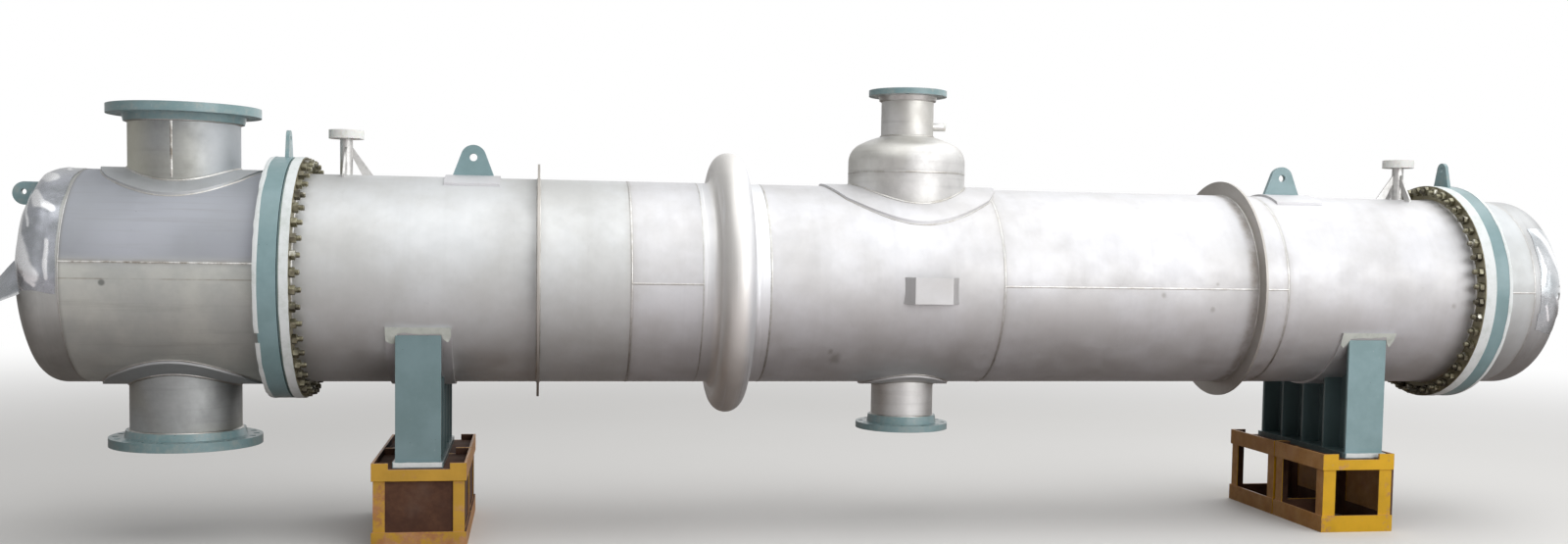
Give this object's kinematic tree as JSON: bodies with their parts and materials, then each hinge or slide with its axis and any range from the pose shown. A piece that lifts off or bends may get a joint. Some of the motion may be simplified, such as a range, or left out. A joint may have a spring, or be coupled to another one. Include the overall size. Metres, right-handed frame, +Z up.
{
  "type": "shell and tube heat exchanger",
  "caption": "Horizontal fixed-tubesheet exchanger with two-pass channel, expansion bellows, vapour dome and flanged nozzles, on saddles that stand on steel box stands.",
  "frame": {"origin": "on the ground, under the middle of the whole length and on the vertical plane through the shell's centre line", "axes": "+X along the shell from the channel to the return head, +Z up, -Y towards the side with the nameplate bracket"},
  "size_m": [7.9416, 1.3276, 2.269],
  "materials": {
    "shell_steel": "bead-blasted stainless steel",
    "machined_steel": "machined stainless steel",
    "inner_steel": "plain drawn stainless steel",
    "green_paint": "glossy grey-green paint",
    "yellow_paint": "worn yellow paint",
    "gasket": "matt sheet gasket",
    "white_plastic": "white plastic caps"
  },
  "bodies": {
    "root": {"channel_head": "shell_steel", "channel_barrel": "shell_steel", "channel_nozzle_pads": "shell_steel", "channel_top_neck": "shell_steel", "channel_top_flange": "green_paint", "channel_bottom_neck": "shell_steel", "channel_bottom_flange": "green_paint", "pass_partition": "inner_steel", "channel_girth_flange": "green_paint", "girth_gaskets": "gasket", "channel_tubesheet": "machined_steel", "tube_bundle": "inner_steel", "shell_course_1": "shell_steel", "shell_course_2": "shell_steel", "expansion_bellows": "shell_steel", "shell_course_3": "shell_steel", "shell_course_4": "shell_steel", "shell_course_5": "shell_steel", "stiffening_rings": "shell_steel", "dome_pad": "shell_steel", "dome_barrel": "shell_steel", "dome_head": "shell_steel", "dome_neck": "shell_steel", "dome_flange": "green_paint", "instrument_boss": "machined_steel", "bottom_nozzle_pad": "shell_steel", "bottom_nozzle_neck": "shell_steel", "bottom_nozzle_flange": "green_paint", "vent_necks": "machined_steel", "vent_flanges": "machined_steel", "vent_braces": "machined_steel", "transport_caps": "white_plastic", "lifting_lugs": "green_paint", "lug_pads": "shell_steel", "handling_lugs": "green_paint", "nameplate_bracket": "machined_steel", "wear_plates": "shell_steel", "left_saddle": "green_paint", "right_saddle": "green_paint", "left_stands": "yellow_paint", "right_stands": "yellow_paint", "return_tubesheet": "machined_steel", "return_girth_flange": "green_paint", "return_barrel": "shell_steel", "return_head": "shell_steel"}
  },
  "joints": []
}
